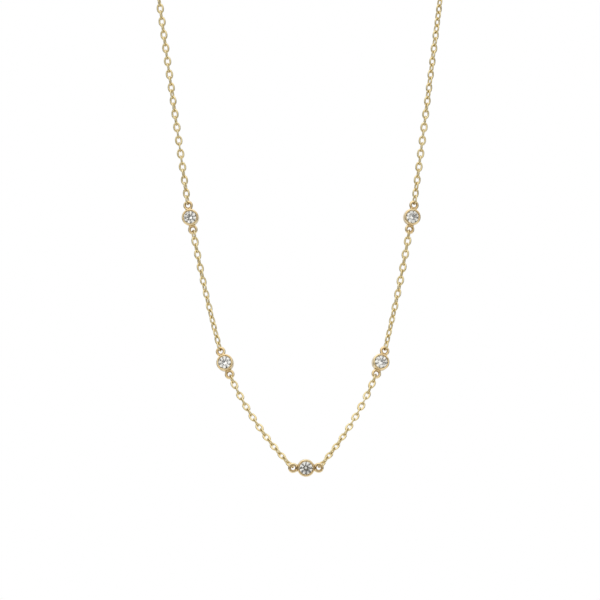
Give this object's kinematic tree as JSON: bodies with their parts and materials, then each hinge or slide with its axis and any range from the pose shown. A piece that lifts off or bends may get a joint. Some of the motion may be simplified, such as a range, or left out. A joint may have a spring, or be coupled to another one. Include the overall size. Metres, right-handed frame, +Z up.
{
  "type": "crystal station necklace",
  "caption": "Fine gold cable chain necklace in a closed loop, held as worn, with round crystals in plain bezel cups spaced in line along its front, the lowest at the centre.",
  "frame": {"origin": "middle of the clasp, where the necklace sits on the nape", "axes": "+Z up, +X to the viewer's right as the front is seen, -Y towards the viewer, +Y back to the nape"},
  "size_m": [0.081, 0.0742, 0.1683],
  "materials": {
    "gold_setting": "polished yellow gold plate",
    "gold_chain": "polished pale yellow gold plate",
    "crystal": "clear faceted crystal"
  },
  "bodies": {
    "root": {"setting_center": "gold_setting", "setting_lower_left": "gold_setting", "setting_lower_right": "gold_setting", "setting_upper_left": "gold_setting", "setting_upper_right": "gold_setting", "crystal_center": "crystal", "crystal_lower_left": "crystal", "crystal_lower_right": "crystal", "crystal_upper_left": "crystal", "crystal_upper_right": "crystal", "chain_front_left": "gold_chain", "chain_front_right": "gold_chain", "chain_mid_left": "gold_chain", "chain_mid_right": "gold_chain", "chain_nape_left": "gold_chain", "chain_nape_right": "gold_chain", "clasp": "gold_setting"}
  },
  "joints": []
}
